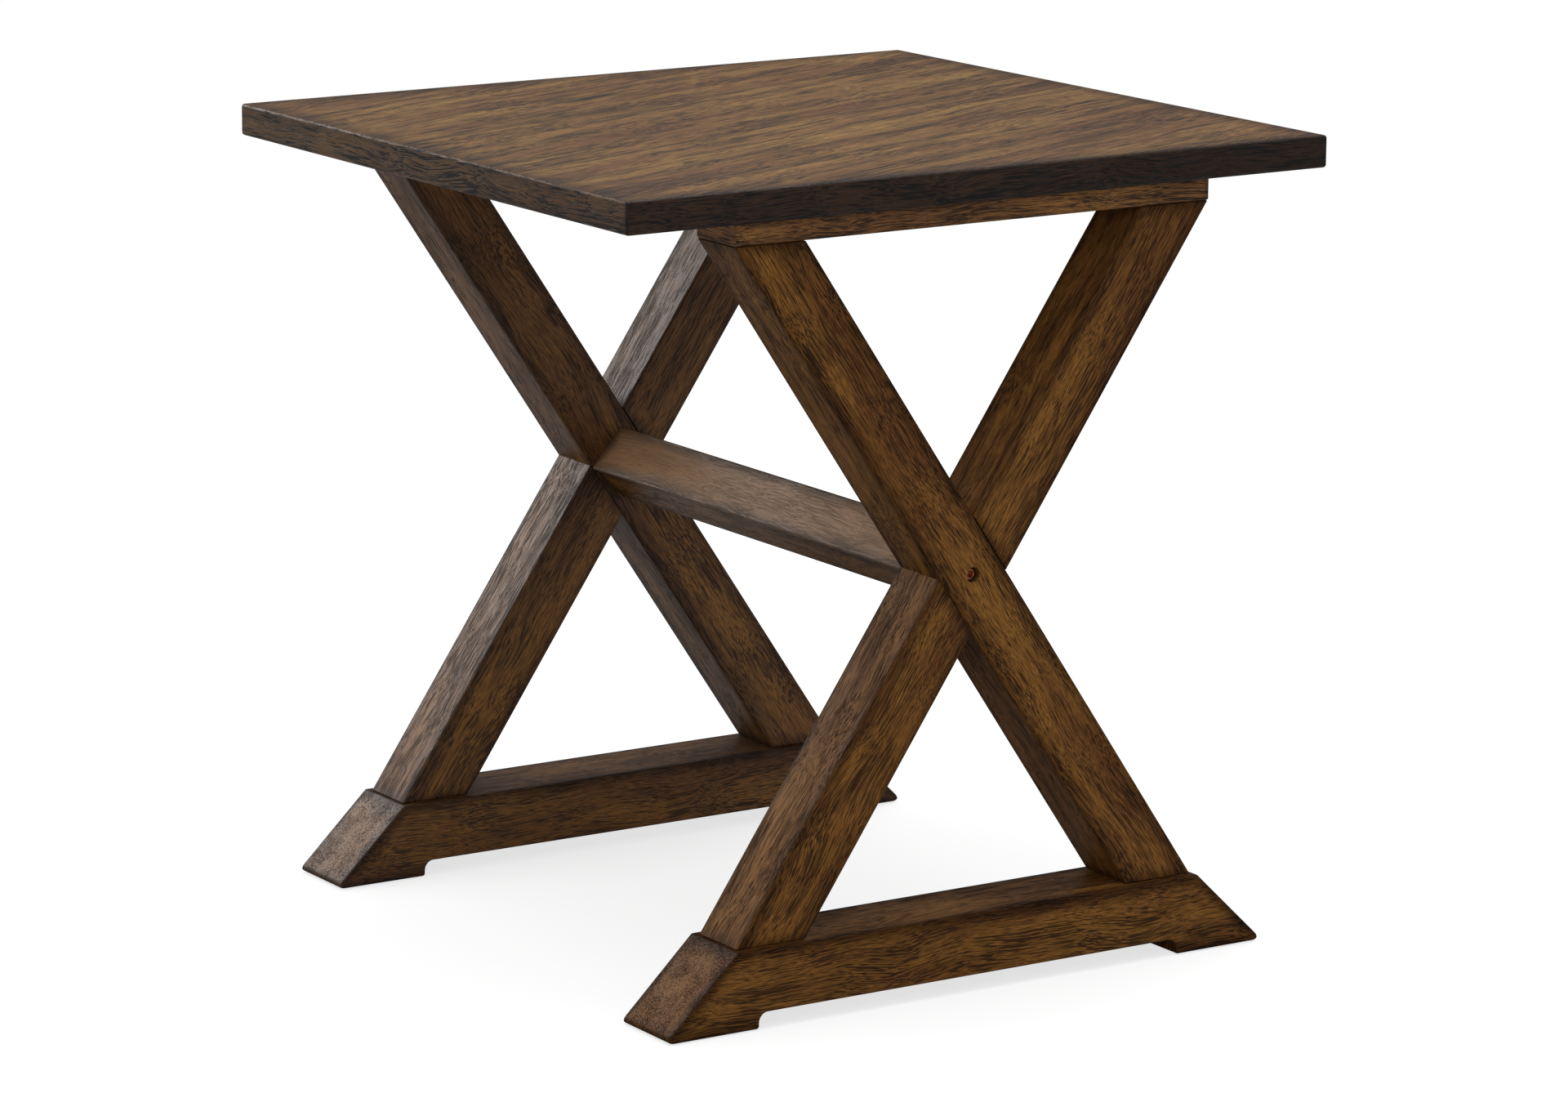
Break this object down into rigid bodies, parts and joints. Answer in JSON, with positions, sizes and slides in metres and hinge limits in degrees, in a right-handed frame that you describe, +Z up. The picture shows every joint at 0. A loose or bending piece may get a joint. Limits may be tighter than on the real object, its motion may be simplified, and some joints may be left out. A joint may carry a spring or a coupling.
{
  "type": "trestle end table",
  "caption": "Low wooden table with a rectangular plank top on crossed-leg trestles, each on a sled foot, joined by a square stretcher set on edge.",
  "frame": {"origin": "on the floor, midway between the four feet: the centre of the underside of the overall box", "axes": "+Z up, +X along the front edge of the top and across each crossed-leg frame, +Y from the front frame to the rear frame along the stretcher"},
  "size_m": [0.604, 0.562, 0.6096],
  "materials": {
    "stained_top": "dark brown stained open-pored hardwood, satin lacquer, grain about 20 degrees off the front edge",
    "stained_wood": "dark brown stained open-pored hardwood, satin lacquer, grain along each piece",
    "raw_beech": "unfinished beech",
    "bronzed_steel": "dark bronze plated steel",
    "zinc_steel": "zinc plated steel",
    "nylon": "brown moulded nylon"
  },
  "bodies": {
    "root": {"front_barrel_nut": "zinc_steel", "front_bolt_washer": "bronzed_steel", "front_cleat": "stained_wood", "front_foot": "stained_wood", "front_left_cleat_dowel": "raw_beech", "front_left_cleat_screw": "zinc_steel", "front_left_foot_dowel": "raw_beech", "front_left_foot_screw": "zinc_steel", "front_left_glide": "nylon", "front_leg_falling": "stained_wood", "front_leg_rising": "stained_wood", "front_lower_stretcher_dowel": "raw_beech", "front_right_cleat_dowel": "raw_beech", "front_right_cleat_screw": "zinc_steel", "front_right_foot_dowel": "raw_beech", "front_right_foot_screw": "zinc_steel", "front_right_glide": "nylon", "front_stretcher_bolt": "bronzed_steel", "front_top_screw_1": "zinc_steel", "front_top_screw_2": "zinc_steel", "front_top_screw_3": "zinc_steel", "front_top_screw_4": "zinc_steel", "front_upper_stretcher_dowel": "raw_beech", "rear_barrel_nut": "zinc_steel", "rear_bolt_washer": "bronzed_steel", "rear_cleat": "stained_wood", "rear_foot": "stained_wood", "rear_left_cleat_dowel": "raw_beech", "rear_left_cleat_screw": "zinc_steel", "rear_left_foot_dowel": "raw_beech", "rear_left_foot_screw": "zinc_steel", "rear_left_glide": "nylon", "rear_leg_falling": "stained_wood", "rear_leg_rising": "stained_wood", "rear_lower_stretcher_dowel": "raw_beech", "rear_right_cleat_dowel": "raw_beech", "rear_right_cleat_screw": "zinc_steel", "rear_right_foot_dowel": "raw_beech", "rear_right_foot_screw": "zinc_steel", "rear_right_glide": "nylon", "rear_stretcher_bolt": "bronzed_steel", "rear_top_screw_1": "zinc_steel", "rear_top_screw_2": "zinc_steel", "rear_top_screw_3": "zinc_steel", "rear_top_screw_4": "zinc_steel", "rear_upper_stretcher_dowel": "raw_beech", "stretcher": "stained_wood", "tabletop": "stained_top"}
  },
  "joints": []
}
